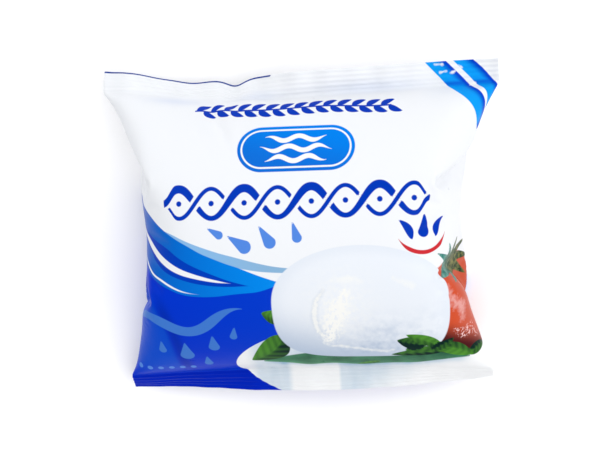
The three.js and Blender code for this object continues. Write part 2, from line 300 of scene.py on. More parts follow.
class Skin:
    """The finished surface: a front grid and a back grid that share their two side columns."""

    def __init__(self, film):
        self.heights = row_heights(BODY_ROWS, SEAL_ROWS)
        self.rows = len(self.heights)
        self.front_across = np.linspace(-SIDE, SIDE, FRONT_COLUMNS + 1)
        self.back_across = self.back_columns()
        per_mm = film.columns / FILM_WIDTH
        front = sampled(film, (self.front_across + SIDE) * per_mm, self.heights)
        back = sampled(film, film.columns + (SIDE - self.back_across) * per_mm, self.heights)
        self.front, self.back = self.thickened(front, 1), self.thickened(back, -1)
        for face, across in ((self.front, self.front_across), (self.back, self.back_across)):
            face[..., 2] += self.ruffle(across)
            face[..., 1] += self.dip(across)
        self.fold_fin()
        for face in (self.front, self.back):
            face[..., 2] = np.maximum(face[..., 2], 0)
        both = np.concatenate([self.front.reshape(-1, 3), self.back.reshape(-1, 3)])
        middle = (both.min(0) + both.max(0)) / 2
        middle[2] = both[:, 2].min()
        self.front -= middle
        self.back -= middle

    def back_columns(self):
        """Even columns, but for two close ones at each edge of the fin."""
        across = np.linspace(SIDE, -SIDE, BACK_COLUMNS + 1)
        for edge in (-FIN_HALF, FIN_HALF):
            for near, place in FIN_EDGE_COLUMNS:
                across[np.argmin(abs(across - edge * near))] = edge * place
        return across

    def outward(self, face):
        along = np.gradient(face, axis=1)
        up = np.gradient(face, axis=0)
        normal = np.cross(along, up)
        return normal / (np.linalg.norm(normal, axis=-1, keepdims=True) + 1e-12)

    def thickened(self, face, side):
        """Gives the seals two layers of film and crimps, which fade out at both edges of a seal."""
        from_cut = np.minimum(self.heights, FILM_HEIGHT - self.heights)
        fade = step_up(from_cut, 0, CRIMP.fade) * step_up(SEAL_HEIGHT - from_cut, 0, CRIMP.fade)
        crimp = CRIMP.rise * np.sin(2 * np.pi * from_cut / CRIMP.pitch) * fade
        layer = np.full(face.shape[1], SEAL_FILM / 2)
        layer[[0, -1]] = 0
        in_seal = (from_cut <= SEAL_EDGE)[:, None]
        lift = np.where(in_seal, layer[None] + side * crimp[:, None], 0)
        return face + lift[..., None] * self.outward(face)

    def ruffle(self, across):
        """How far the seals, and the film next to them, wave up and down."""
        above, below = self.heights - FILM_HEIGHT, -self.heights
        head = sum(most * step_up(above, -start, -end) for most, start, end in HEAD_RUFFLE)
        foot = sum(most * step_up(below, -start, -end) for most, start, end in FOOT_RUFFLE)
        wave = sum(share * np.sin(2 * np.pi * across / length + start) for share, length, start in RUFFLES)
        return (head + foot)[:, None] * wave[None]

    def dip(self, across):
        """How far the head seal shifts up the pouch, where its cut edge isn't straight."""
        shift = sum(most * soft_line(across, at, reach) for at, reach, most in DIPS)
        return step_up(self.heights, DIPS_FROM, FILM_HEIGHT)[:, None] * shift[None]

    def fold_fin(self):
        """Raises the fin, folded flat, and lifts the film beside it where the pouch lies on it."""
        from_seam = abs(self.back_across)[None]
        in_fin = from_seam < FIN_HALF
        self.back += (in_fin * FIN_PROUD)[..., None] * self.outward(self.back)
        lift = FIN_PROUD * soft_line(from_seam, FIN_HALF, FIN_LIFT_REACH) * ~in_fin
        self.back[..., 2] = np.maximum(self.back[..., 2], lift)

    def corner_points(self):
        return np.concatenate([self.front.reshape(-1, 3), self.back[:, 1:-1].reshape(-1, 3)])

    def flat_places(self):
        """For each point: distance across the face, height, and whether it is on the back."""
        grids = [np.meshgrid(u, self.heights) for u in (self.front_across, self.back_across[1:-1])]
        across, height = (np.concatenate([grid[k].ravel() for grid in grids]) for k in (0, 1))
        return across, height, np.arange(len(across)) >= grids[0][0].size

    def triangles(self):
        points = self.corner_points()
        front = np.arange(self.rows * (FRONT_COLUMNS + 1)).reshape(self.rows, -1)
        inner = front.size + np.arange(self.rows * (BACK_COLUMNS - 1)).reshape(self.rows, -1)
        back = np.concatenate([front[:, -1:], inner, front[:, :1]], axis=1)
        faces = []
        for grid in (front, back):
            a, b = grid[:-1, :-1].ravel(), grid[:-1, 1:].ravel()
            c, d = grid[1:, 1:].ravel(), grid[1:, :-1].ravel()
            first = np.linalg.norm(points[a] - points[c], axis=1)
            second = np.linalg.norm(points[b] - points[d], axis=1)
            shorter = (first <= second)[:, None]
            faces.append(np.where(shorter, np.stack([a, b, c], 1), np.stack([a, b, d], 1)))
            faces.append(np.where(shorter, np.stack([a, c, d], 1), np.stack([b, c, d], 1)))
        for row, turn in ((0, 1), (self.rows - 1, -1)):
            cap = self.cap(front[row], back[row][::-1])
            faces.append(cap[:, ::turn])
        return np.concatenate(faces)

    def cap(self, front, back):
        """Shuts a cut edge: each step along the back lies opposite two steps along the front."""
        made = []
        for k in range(BACK_COLUMNS):
            low, middle, high = front[2 * k : 2 * k + 3]
            near, far = back[k], back[k + 1]
            made += [(low, near, middle), (middle, near, far), (middle, far, high)]
        return np.array([t for t in made if len(set(t)) == 3])


# ---- The print and some painted shade and highlights, as distances on the flat film, in millimetres and negative inside each shape ----
FAR = 12.0  # no distance needs to be larger
STROKE_MARGIN = 8.0  # how far around a stroke its distance is worked out


def curve(*points):
    """A smooth function through the points."""
    x, y = np.array(points, float).T
    slope = np.gradient(y, x)

    def at(place):
        start = np.clip(np.searchsorted(x, place, side="right") - 1, 0, len(x) - 2)
        span = x[start + 1] - x[start]
        t = np.clip((place - x[start]) / span, 0, 1)
        return hermite(t, span, y[start], slope[start], y[start + 1], slope[start + 1])

    return at


def tilt(line, place):
    """How far a function of place rises over the millimetre around it."""
    return line(place + 0.5) - line(place - 0.5)


def past(line, place, other):
    """Signed distance from the graph of a function of place, positive past it."""
    return (other - line(place)) / np.sqrt(1 + tilt(line, place) ** 2)


class Print:
    """Distances and tones for each shape at every point of the skin.

    v is the height. u is the distance across a face, from the middle of the front or of the back,
    and s is the distance round the pouch from the middle of the front.
    """

    def __init__(self, across, height, on_back):
        shift = shifted(across, height)
        self.u, self.v, self.on_back = across + shift, height, on_back
        turned = np.where(across >= 0, FILM_WIDTH - across, -FILM_WIDTH - across)
        self.s = np.where(on_back, turned, across) + shift
        self.values = {}

    def keep(self, name, value):
        self.values[name] = np.clip(value, -FAR, FAR).astype(np.float32)

    def keep_line(self, name, distance, half):
        """A thin field, as the distance from its middle line and its half-width."""
        self.keep(name, distance)
        self.keep(name + "_half", half)

    def keep_blade(self, name, top, bottom, start, end):
        """A long thin field between two curves."""
        middle = lambda place: (top(place) + bottom(place)) / 2
        half = (top(self.s) - bottom(self.s)) / 2 / np.sqrt(1 + tilt(middle, self.s) ** 2)
        self.keep_line(name, self.below(middle), np.where((self.s > start) & (self.s < end), half, -1))

    def below(self, line):
        return past(line, self.s, self.v)

    def on_front(self, distance):
        return np.where(self.on_back, FAR, distance)

    def stroke(self, line):
        """A line whose half-width runs from one point's to the next one's."""
        points, radii = np.split(np.array(line, float), [2], axis=1)
        radii = radii[:, 0]
        lo, hi = points.min(0) - STROKE_MARGIN, points.max(0) + STROKE_MARGIN
        near = (self.s > lo[0]) & (self.s < hi[0]) & (self.v > lo[1]) & (self.v < hi[1])
        place = np.stack([self.s[near], self.v[near]], 1)
        found = np.full(len(place), FAR)
        for (start, end), (r0, r1) in zip(zip(points, points[1:]), zip(radii, radii[1:])):
            span = end - start
            t = np.clip((place - start) @ span / (span @ span), 0, 1)
            gap = np.linalg.norm(place - start - t[:, None] * span, axis=1)
            found = np.minimum(found, gap - r0 - t * (r1 - r0))
        distance = np.full(len(self.s), FAR)
        distance[near] = found
        return distance

    def rounded_box(self, u, centre, half, radius):
        x = abs(u - centre[0]) - half[0] + radius
        y = abs(self.v - centre[1]) - half[1] + radius
        outside = np.hypot(np.maximum(x, 0), np.maximum(y, 0))
        return outside + np.minimum(np.maximum(x, y), 0) - radius

    def leaf(self, base, tip, half_width, bow):
        """Distance from a leaf, how far along it a point is, and how far to its left."""
        base, tip = np.array(base, float), np.array(tip, float)
        length = np.linalg.norm(tip - base)
        ahead = (tip - base) / length
        x = ((self.s - base[0]) * ahead[0] + (self.v - base[1]) * ahead[1]) / length
        y = (self.v - base[1]) * ahead[0] - (self.s - base[0]) * ahead[1]
        inner = np.clip(x, 0, 1)
        y = y - bow * 4 * inner * (1 - inner)
        width = half_width * np.sin(np.pi * inner**0.75) ** 0.8
        distance = np.maximum(abs(y) - width, (abs(x - 0.5) - 0.5) * length)
        return distance, inner, y

    def leaves(self, forms):
        return np.minimum.reduce([self.leaf(*form)[0] for form in forms])


# The wave fields run right round the pouch and meet at the fin.
AZURE_TOP = curve(
    (-125, 58), (-105, 66), (-90, 71), (-75, 73), (-62, 73), (-52, 70.6), (-47, 67.8), (-43.5, 65.3),
    (-39.5, 62.8), (-36, 60.8), (-32, 58.7), (-28, 56.5), (-24, 54.8), (-20.5, 53.4), (-16.5, 52),
    (-13, 50.5), (-9, 48.9), (-4, 47.2), (13, 44.5), (33, 43.5), (45, 41), (57, 38.5), (65, 38), (80, 44),
    (100, 53), (125, 58),
)
ROYAL_TOP = curve(
    (-125, 46), (-100, 51), (-80, 55), (-62, 55), (-51, 51.2), (-45.5, 48), (-39, 45.3), (-35, 43.8),
    (-29, 43), (-23, 43.2), (-19, 43.7), (-15.5, 44), (-11.5, 44.4), (-7.5, 45.6), (-5.5, 46.4), (1, 46.4),
    (13, 43), (33, 36), (57, 31), (70, 31), (95, 40), (125, 46),
)
PALE_TOP = curve(
    (-40, 63.1), (-36.5, 61.9), (-34, 60.8), (-30, 59.2), (-26, 57.8), (-22, 56.5), (-18, 55.4),
    (-14.5, 54.4), (-10.5, 53.3), (-7, 52.5), (0.5, 51.5), (13, 50.6),
)
PALE_FOOT = curve(
    (-40, 62), (-32, 57.6), (-24, 54), (-18.5, 52.4), (-14.5, 51.5), (-11, 50.9), (-7, 50.5), (-1, 50.2),
    (13, 49.8),
)
LENS_TOP = curve(
    (-90, 67), (-76, 67.5), (-62, 66), (-55, 64), (-51, 62.2), (-47, 60.4), (-44.5, 59.5), (-41, 58.4),
    (-38.5, 57.3), (-36.5, 55.9), (-32.5, 53.5), (-28.5, 51.6), (-24.5, 49.9), (-20.5, 48.3), (-17, 47.2),
    (-14, 46.4), (-7, 45.2),
)
LENS_FOOT = curve(
    (-90, 66.6), (-76, 65), (-62, 62.4), (-55, 60.4), (-51, 58.4), (-47.5, 56), (-44, 52.8), (-41.5, 51.1),
    (-39, 49.9), (-35, 48.5), (-31, 47.4), (-27, 46.7), (-23, 46.3), (-19, 46.2), (-14, 46.4), (-7, 46.6),
)
SWOOSH_TOP = curve(
    (-95, 66), (-78, 66.6), (-62, 65), (-55, 63), (-51, 61.2), (-47, 58.9), (-44, 56.9), (-41.5, 55.2),
    (-39, 53.8), (-36.5, 52.5), (-34.5, 51.6), (-30.5, 50.2), (-26.5, 49), (-23, 48.1), (-19.5, 47.2),
)
SWOOSH_FOOT = curve(
    (-95, 66.4), (-78, 65), (-62, 63.4), (-55, 61.3), (-51, 59.4), (-47.5, 57), (-44, 54.6), (-41.5, 53),
    (-39, 51.6), (-34.5, 49.8), (-30.5, 48.8), (-26.5, 48), (-23, 47.5), (-19.5, 47.3),
)
THREAD = curve(
    (-80, 56.5), (-62, 56), (-55, 54.4), (-51, 52.6), (-48, 50.8), (-45.5, 49.3), (-41.5, 47.7), (-39, 46.5),
    (-35, 44.8), (-32, 44.1), (-29, 43.8), (-22, 43.8),
)
THREAD_HALF = 0.3
# A soft crease up the left side: lit on its left, shaded on its right.
CREASE = curve(
    (5, -39), (18, -39.5), (25, -40.2), (30, -41), (33, -41.8), (37, -43), (42, -44.5), (47, -47.5),
)
CUT_LINE = Values(width=0.55, left=-63, right=-8)
# Painted shade of soft dents below the head seal: how strong each spot is, where it lies, and its reach.
HEAD_PAINTED_SHADES = [(1, (-38, 108), (9, 2.2)), (0.8, (-12, 111), (8, 2)), (1, (24, 111.5), (17, 2.4))]


def draw_fields(p):
    p.keep("azure", p.below(AZURE_TOP))
    p.keep("royal", p.below(ROYAL_TOP))
    p.keep_blade("pale", PALE_TOP, PALE_FOOT, -40, 12)
    p.keep_blade("lens", LENS_TOP, LENS_FOOT, -90, -9)
    p.keep_blade("swoosh", SWOOSH_TOP, SWOOSH_FOOT, -94, -19)
    along_thread = within(p.s, rise=(-84, -66), fall=(-40, -22))
    p.keep_line("thread", p.below(THREAD), THREAD_HALF * (2 * along_thread - 1))
    p.keep("pale_tone", step_up(p.s, -32, 0))
    p.keep("brightness", step_up(p.s, -62, 8))
    past_crease = p.s - CREASE(p.v)
    along_crease = within(p.v, rise=(8, 16), fall=(36, 46))
    p.keep("lit", step_up(-past_crease, -0.4, 1.4) * along_crease + 0.2 * step_up(p.s, -45, -10))
    p.keep("crease_shade", soft_line(past_crease, middle=1.6, reach=2) * along_crease)
    p.keep("seal_part", p.v - SEAL_HEIGHT - 0.3)
    beside = np.maximum(p.s - CUT_LINE.right, CUT_LINE.left - p.s)
    p.keep("cut_line", np.maximum(FILM_HEIGHT - CUT_LINE.width - p.v, beside))
    # The painted shade below the head seal.
    p.keep("head_tint", sum(share * soft_spot(p.s, p.v, at, reach) for share, at, reach in HEAD_PAINTED_SHADES))


# Each band's inner and outer edge, as functions of the height.
BANDS = dict(
    band_a=(
        curve((94, 58.5), (100, 55.2), (104, 51.7), (111, 46.4), (118.5, 40)),
        curve((94, 58.5), (98, 60.8), (103.5, 59), (107, 56.2), (111.6, 52.6), (118.5, 46.3)),
    ),
    band_b=(
        curve((98, 64), (101, 61.5), (107, 58.3), (112, 54.4), (118.5, 48.5)),
        curve((98, 64), (104, 64), (110, 62), (112, 60.4), (115, 58), (118.5, 54.5)),
    ),
)
BANDS_FOOT = 94


def draw_bands(p):
    """Two diagonal bands across the top right corner, each with a dark outer edge, and painted shade along
    the head seal's fold.
    """
    # Painted shade of the fold where the head seal meets the body.
    fold_shade = 0.7 * soft_line(p.v, middle=FILM_HEIGHT - SEAL_HEIGHT, reach=0.9)
    for name, (inner, outer) in BANDS.items():
        right = past(outer, p.v, p.s)
        p.keep(name, np.where(p.v > BANDS_FOOT, np.maximum(right, -past(inner, p.v, p.s)), FAR))
        p.keep(name + "_edge", np.maximum(1 - step_up(-right, 0.3, 2.6), fold_shade))


PLATE = Values(centre=(30.0, 14.0), half=(51.7, 21.0), outermost=100)
STRIP_TOP = curve((-13, 16), (-8, 18), (0, 20), (30, 22), (45, 20), (52, 16))
STRIP_FOOT = curve(
    (-13, 15.6), (-4.5, 14), (1, 12.2), (8.5, 13), (19, 11.5), (27, 12.9), (35, 13.4), (42, 15.2), (47, 16),
    (52, 15.6),
)
STRIP = Values(left=-13, right=52)
# Each leaf: base, tip, half-width, bow, and how light it is.
LEAVES = dict(
    leaves_behind=[
        ((-5, 28.5), (-16.3, 16.6), 4.7, 1.7, 0.5), ((-4, 35), (-11, 37.4), 2.6, 0.4, 0.6),
        ((24, 14.5), (16, 11.8), 1.1, 0.2, 0.7),
    ],
    leaves_ahead=[
        ((44, 20.6), (31.5, 21.4), 1.9, 0.2, 0.4), ((43, 20), (27, 18.6), 1.7, -0.4, 0.3),
        ((38, 23.5), (29.3, 25.6), 2.8, 0.3, 0.12), ((43, 22), (32, 27.8), 1.9, -0.5, 0.72),
        ((51, 17), (59.8, 17.8), 2.0, 0.3, 0.2), ((41.5, 22.5), (52.8, 16), 2.5, 0.7, 0.66),
        ((40, 20.5), (47, 24.6), 1.5, 0.2, 0.08),
    ],
)
LEAF_RIM = 0.3  # how far past a leaf its tone reaches


def leaf_tone(along, left, light):
    """Lighter on one side of the midrib and on the midrib itself, and darker near the base."""
    sides = 0.28 * np.tanh(-left / 0.9)
    veins = 0.16 * np.sin(along * 34 + abs(left) * 1.8)
    near_base = 0.35 * (1 - step_up(along, 0.15, 0.6)) * light
    midrib = 0.4 * soft_line(left, middle=0, reach=0.32) * (1 - along)
    return light + sides + veins - near_base + midrib


def draw_plate(p):
    """The plate with its strip and its leaves."""
    half_across, half_up = PLATE.half
    x, y = (p.s - PLATE.centre[0]) / half_across, (p.v - PLATE.centre[1]) / half_up
    size = half_up + (half_across - half_up) * abs(x)
    p.keep("plate", np.where(abs(p.s) > PLATE.outermost, FAR, (np.hypot(x, y) - 1) * size))
    left_pane = within(p.s, rise=(-19, -14), fall=(-6.5, -4))
    right_pane = step_up(p.s, 10.3, 11.1) * (1 - step_up(p.s - 1.1 * p.v, 12, 34))
    under_strip = soft_line(np.maximum(STRIP_FOOT(p.s) - p.v, 0), middle=0, reach=2.2)
    under_strip = under_strip * within(p.s, rise=(-14, -8), fall=(46, 54))
    p.keep("plate_shade", np.clip(0.5 * left_pane + 0.52 * right_pane + 0.6 * under_strip, 0, 1))
    beside = (p.s <= STRIP.left) | (p.s >= STRIP.right)
    p.keep("strip", np.where(beside, FAR, np.maximum(p.below(STRIP_TOP), -p.below(STRIP_FOOT))))
    foot_light = 0.4 * soft_line(p.v, middle=STRIP_FOOT(p.s), reach=1.6)
    p.keep("strip_tone", 0.3 + foot_light * (1 - 0.7 * step_up(p.s, 20, 42)))
    for group, leaves in LEAVES.items():
        nearest, tone = FAR, 0.5
        for *form, light in leaves:
            distance, along, left = p.leaf(*form)
            tone = np.where(distance < LEAF_RIM, leaf_tone(along, left, light), tone)
            nearest = np.minimum(nearest, distance)
        p.keep(group, nearest)
        p.keep(group + "_tone", tone)


# The ball is nearly an ellipse at its top and squarer at its foot, by the powers of its outline.
BALL = Values(centre=(19.3, 38.0), half=(26.9, 20.2), power=2.6, power_drop=0.5)


def draw_ball(p):
    """The soft ball: a squashed round, flatter at its foot, with wet highlights."""
    du, dv = p.u - BALL.centre[0], p.v - BALL.centre[1]
    x, y = du / BALL.half[0], dv / BALL.half[1]
    power = BALL.power - BALL.power_drop * np.clip(y, -1, 1)
    ring = (abs(x) ** power + abs(y) ** power) ** (1 / power)
    size = np.hypot(du, dv) / np.maximum(ring, 1e-6)
    p.keep("ball", p.on_front((ring - 1) * size))
    foot = step_up(-0.9 * y - 0.3 * x, 0.1, 1.05)
    rim = step_up(ring, 0.8, 1.0)
    p.keep("ball_shade", np.clip(0.74 * foot + 0.12 * rim - 0.1 * foot * rim, 0, 1))
    p.keep("ball_grain", step_up(-y, -0.15, 0.6) * step_up(x, -0.5, 0.2) * (1 - rim))
    p.keep("gleam_haze", soft_spot(p.s, p.v, at=(13, 38), reach=(9, 11)))


TOMATO = Values(centre=(56.5, 34.7), half=(19.4, 16.9), power=3.4, size=15, left=30)
CALYX = Values(centre=(58.0, 48.4), half_width=1.7, bow=0.5)
SEPAL_TIPS = [
    (43.2, 54), (50, 56.4), (60, 57), (68.5, 55), (74, 49.4), (73.6, 43), (66.6, 40.4), (59, 39.8),
    (51.4, 42), (44.4, 46),
]


def draw_tomato(p):
    """A tomato behind the ball, which runs on round the side fold, with its calyx on the fold."""
    x, y = ((q - at) / half for q, at, half in zip((p.s, p.v), TOMATO.centre, TOMATO.half))
    ring = (abs(x) ** TOMATO.power + abs(y) ** TOMATO.power) ** (1 / TOMATO.power)
    p.keep("tomato", np.where(p.s > TOMATO.left, (ring - 1) * TOMATO.size, FAR))
    p.keep("tomato_shade", step_up(-0.95 * y - 0.65 * x, 0.52, 1.0))
    p.keep("tomato_side", 0.45 * step_up(p.s, 47, 54) + 0.3 * step_up(-y, -0.2, 0.9))
    p.keep("calyx", p.leaves((CALYX.centre, tip, CALYX.half_width, CALYX.bow) for tip in SEPAL_TIPS))
    p.keep("calyx_tone", step_up(p.s, 50, 62))


BRAID = Values(left=-39.0, right=41.0, middle=71.4, rise=4.4, pitch=20.0, gap=0.85, eye=0.85, ends=4)


def draw_braid(p):
    """Two waves that pass over and under each other in turn, with a dot in each eye between them."""
    b = BRAID
    along, up, turn = p.u - b.left, p.v - b.middle, 2 * math.pi / b.pitch
    ends = within(p.u, rise=(b.left, b.left + b.ends), fall=(b.right - b.ends, b.right))
    rise = b.rise * (0.3 + 0.7 * ends)
    swing = np.sin(along * turn)
    slope = np.sqrt(1 + (rise * turn * np.cos(along * turn)) ** 2)
    thick, thin = abs(up - rise * swing) / slope, abs(up + rise * swing) / slope
    thick_half, thin_half = 1.0 + 0.25 * swing, 0.62
    thick_over = np.round(along / (b.pitch / 2)).astype(int) % 2 == 0
    under_thick = np.where(thick_over, thick_half + b.gap - thick, -FAR)
    under_thin = np.where(thick_over, -FAR, thin_half + b.gap - thin)
    thick, thin = np.maximum(thick - thick_half, under_thin), np.maximum(thin - thin_half, under_thick)
    eyes = np.hypot(np.mod(along, b.pitch / 2) - b.pitch / 4, up) - b.eye
    outside = np.maximum(-along, p.u - b.right)
    p.keep("braid", p.on_front(np.maximum(np.minimum(np.minimum(thick, thin), eyes), outside)))


GARLAND = Values(left=-31.5, right=30.0, height=102.7, sway=0.5, sway_pitch=35, stem_half=0.34)
GARLAND_LEAVES = Values(pitch=2.2, ahead=4.3, aside=2.9, half_width=1.15, bow=0.5)


def draw_garland(p):
    """A stem with leaves on both sides in turn."""
    g, leaf = GARLAND, GARLAND_LEAVES
    stem = lambda u: g.height + g.sway * np.sin(u * 2 * math.pi / g.sway_pitch)
    along = (p.u > g.left) & (p.u < g.right)
    p.keep_line("stem", p.on_front(past(stem, p.u, p.v)), np.where(along, g.stem_half, -1))
    leaves = []
    for k, u in enumerate(np.arange(g.left + 1, g.right, leaf.pitch)):
        side = 1 - 2 * (k % 2)
        tip = (u + leaf.ahead, stem(u) + side * leaf.aside)
        leaves.append(((u, stem(u)), tip, leaf.half_width, leaf.bow * side))
    p.keep("garland", p.leaves(leaves))


LABEL = dict(centre=(1.3, 87.8), half=(17.7, 7.4), radius=7.4)
LABEL_WAVES = Values(heights=(91, 87.7, 84.4), rise=0.75, pitch=9, start=3, half=0.75, reach=11.5, less=1.5)


def draw_label(p):
    """A blank label with three waves, the middle one longest."""
    w = LABEL_WAVES
    p.keep("label", p.on_front(p.rounded_box(p.u, **LABEL)))
    p.keep("label_tone", step_up(p.v + 0.25 * p.u, 80, 97))
    from_middle = abs(p.u - LABEL["centre"][0])
    for k, height in enumerate(w.heights):
        wave = lambda u: height + w.rise * np.sin((u + w.start * k) * 2 * math.pi / w.pitch)
        reach = w.reach - w.less * abs(k - 1)
        half = w.half * (1 - step_up(from_middle, reach * 0.45, reach)) - 0.3 * (from_middle > reach - 0.6)
        p.keep_line(f"label_wave_{k}", p.on_front(past(wave, p.u, p.v)), half)


RIBBON = Values(height=33.5, tilt=0.11, level=-38, rise=3.2, start=-56, pitch=30, half=1.75)
# Each drop: the middle of its round end, how far off its point lies, and its radius.
DROPS = [
    ((-14.5, 58.4), (-4.8, 3.2), 2.1), ((-6.8, 59.6), (-3, 4.8), 1.9), ((-22, 62), (-3.4, 2), 1.3),
    ((1.4, 60.8), (-1.2, 4.6), 1.5), ((-36.4, 20.8), (0, 5.2), 2.3), ((-27.2, 24.4), (0, 4.4), 1.8),
    ((-30.4, 15.8), (0, 3.6), 1.4), ((-44, 23), (0, 3.4), 1.3), ((-20.5, 28.6), (0.6, 3.4), 1.2),
]
DOTS = Values(first=-54.0, pitch=3.6, count=6, height=13.2, radius=0.95)
# A mark over a red arc: a drop between two leaves. The arc's angles are degrees below the right.
ARC = Values(centre=(39.1, 64.4), radius=9.4, top=2, half=0.62, middle=88, end=62)
MARK_LEAVES = [((35.2, 59.2), (31.2, 65.2), 1.2, -0.8), ((43.2, 59.2), (47.2, 65.2), 1.2, 0.8)]


def draw_flourishes(p):
    """A ribbon, drops and a row of dots on the waves, and the mark over its arc."""
    r = RIBBON
    swing = lambda s: r.rise * np.sin((s - r.start) * 2 * math.pi / r.pitch)
    ribbon = lambda s: r.height + r.tilt * (s - r.level) + swing(s)
    cut = 0.5 * ((p.s < -62) | (p.s > -16.5))
    half = r.half * within(p.s, rise=(-64, -42), fall=(-28, -15)) - cut
    p.keep_line("ribbon", past(ribbon, p.s, p.v), half)
    nearest_dot = np.clip(np.round((p.s - DOTS.first) / DOTS.pitch), 0, DOTS.count - 1)
    from_dot = p.s - DOTS.first - nearest_dot * DOTS.pitch
    p.keep("dots", np.hypot(from_dot, p.v - DOTS.height) - DOTS.radius)
    du, dv = p.u - ARC.centre[0], p.v - ARC.centre[1]
    angle = abs(np.degrees(np.arctan2(-dv, du)) - ARC.middle)
    half = ARC.half * (1 - step_up(angle, 30, 66)) - 0.25 * (angle > ARC.end)
    p.keep_line("arc", p.on_front(np.hypot(du, dv) - ARC.radius), np.where(dv < ARC.top, half, -1))
    p.keep("mark_leaves", p.leaves(MARK_LEAVES))


# Lines that swell and thin: each point of a line, and the half-width there.
STROKES = dict(
    gleam=[[(14.5, 43, 1.4), (12.4, 38, 3.2), (10.4, 32.5, 3), (9, 26, 1)]],
    foot_gleam=[[
        (8.5, 23.8, 0.1), (12, 23.7, 0.5), (15.5, 22.8, 0.35), (21, 21.5, 0.5), (26, 20.6, 0.35),
        (29, 21.8, 0.1),
    ]],
    gleam_arc=[[(8.2, 44.5, 0.1), (5.8, 41, 0.5), (5, 36, 0.7), (5.6, 31, 0.5), (8.4, 25.5, 0.1)]],
    glint=[[(11, 47.6, 0.2), (15.5, 48, 0.9), (20, 47.2, 0.2)], [(29, 47.8, 0.2), (34.6, 45.2, 0.8)]],
    tomato_gleam=[[(46, 42.6, 0.2), (47, 39, 0.7), (48.8, 36, 1.5), (51.6, 34, 1.7), (51, 30.5, 0.7)]],
    tomato_glint=[[(47.6, 27.4, 0.7), (50.4, 24.8, 1.6), (54, 25.5, 1.7), (56.5, 22, 0.8)]],
    band_glints=[
        [(43.2, 117.3, 0.2), (45.6, 117, 0.3)], [(44.9, 114.6, 0.35), (46.7, 115, 0.15)],
        [(48.3, 114.4, 0.4), (49.4, 114.7, 0.3)], [(53.6, 110.2, 0.15), (55.2, 110.7, 0.35)],
        [(50.5, 116.4, 0.15), (51.6, 115.6, 0.2)],
    ],
    mark_drop=[[(39.2, 61.4, 2), (39.2, 66, 0.4)]],
    drops=[[(u, v, radius), (u + du, v + dv, 0.2)] for (u, v), (du, dv), radius in DROPS],
)


def draw_strokes(p):
    for name, lines in STROKES.items():
        p.keep(name, np.minimum.reduce([p.stroke(line) for line in lines]))


PANELS = dict(centre=(31, 88), half=(21, 16), radius=3)
RULES = Values(lowest=76, pitch=4.8, margin=3)


def draw_back(p):
    """Two blank panels, one each side of the fin, with pale rules."""
    panel = p.rounded_box(abs(p.u), **PANELS)
    p.keep("panel", np.where(p.on_back, panel, FAR))
    place = (p.v - RULES.lowest) / RULES.pitch
    rules = abs(place - np.round(place)) * RULES.pitch
    p.keep("rules", np.where((panel < -RULES.margin) & p.on_back, rules, FAR))


# ---- Colours, as they are printed, and of the painted shade and highlights ----
FILM_RETURN = 0.78  # share of the light that the film gives back where a colour is stated as it looks


def ink(red, green, blue, share=FILM_RETURN):
    made = [c / 255 for c in (red, green, blue)]
    return (*[share * (c / 12.92 if c <= 0.04045 else ((c + 0.055) / 1.055) ** 2.4) for c in made], 1)


WHITE_FILM = ink(247, 249, 253)
# Painted light among these: the shade below the head seal and the crease shade are painted shade, the dark
# band tone also paints the shade of the head seal's fold, and the tomato's gleam is a painted reflection.
COLOURS = Values(
    film_mottle=ink(240, 245, 253), azure=(ink(4, 86, 194), ink(0, 145, 247)),
    royal=(ink(0, 52, 208), ink(4, 76, 210)), seal_royal=ink(0, 38, 192), crease_shade=ink(0, 40, 160),
    dark=ink(0, 62, 190), pale=(ink(140, 190, 236), ink(142, 184, 220)),
    periwinkle=(ink(66, 124, 212), ink(86, 140, 230)), band=(ink(10, 160, 250), ink(0, 66, 208)),
    cut_line=ink(24, 60, 150), head_tint=ink(214, 224, 246), plate=ink(252, 253, 255),
    plate_shade=ink(158, 192, 218), strip=(ink(18, 68, 46), ink(96, 170, 126)),
    leaf=(ink(4, 38, 32), ink(84, 150, 50)), ball=(ink(241, 246, 254), ink(168, 188, 216)),
    gleam=ink(255, 255, 252), arc_shade=ink(214, 223, 236), tomato=ink(214, 82, 46),
    tomato_shade=ink(76, 20, 24), tomato_side=ink(202, 100, 80), tomato_gleam=ink(250, 206, 204),
    calyx=(ink(58, 128, 118), ink(34, 62, 36)), sepal=(ink(122, 184, 172), ink(140, 142, 80)),
    ornament=ink(0, 56, 186), label=(ink(12, 110, 218), ink(0, 132, 242)), arc=ink(208, 44, 52),
    rules=ink(196, 214, 236),
)
EDGE = 0.22  # how soft the edge of a printed field is, but for these
SOFT_EDGES = dict(strip=0.5, tomato=0.4, ball=0.35, arc_shade=0.9)


# Noise that breaks up the print and the film: scale per metre, detail, and stretch.
NOISES = dict(
    mottle=(260, 3), ragged=(900, 4), broad=(170, 3), speckle=(1500, 3), grain=(700, 3), soft_grain=(420, 4),
    streaks=(150, 2, 1.3, 0.3, 1), dashes=(1100, 2, 1, 0.45, 1), crinkle=(150, 3), floor=(4, 2),
)
# Each gleam: how far noise moves its edge, how soft the edge is, and how strong or patchy the gleam is.
GLEAMS = dict(
    tomato_gleam=(5.0, 2.6, 0.52), tomato_glint=(2.0, 1.2, ("speckle", 0.5, 8.0)),
    foot_gleam=(1.4, 1.0, 0.7), gleam_arc=(1.6, 0.6, 0.8), gleam=(7.0, 2.6, ("dashes", 0.36, 9.0)),
    glint=(2.0, 1.6, 0.6), band_glints=(1.2, 0.5, 0.9),
)


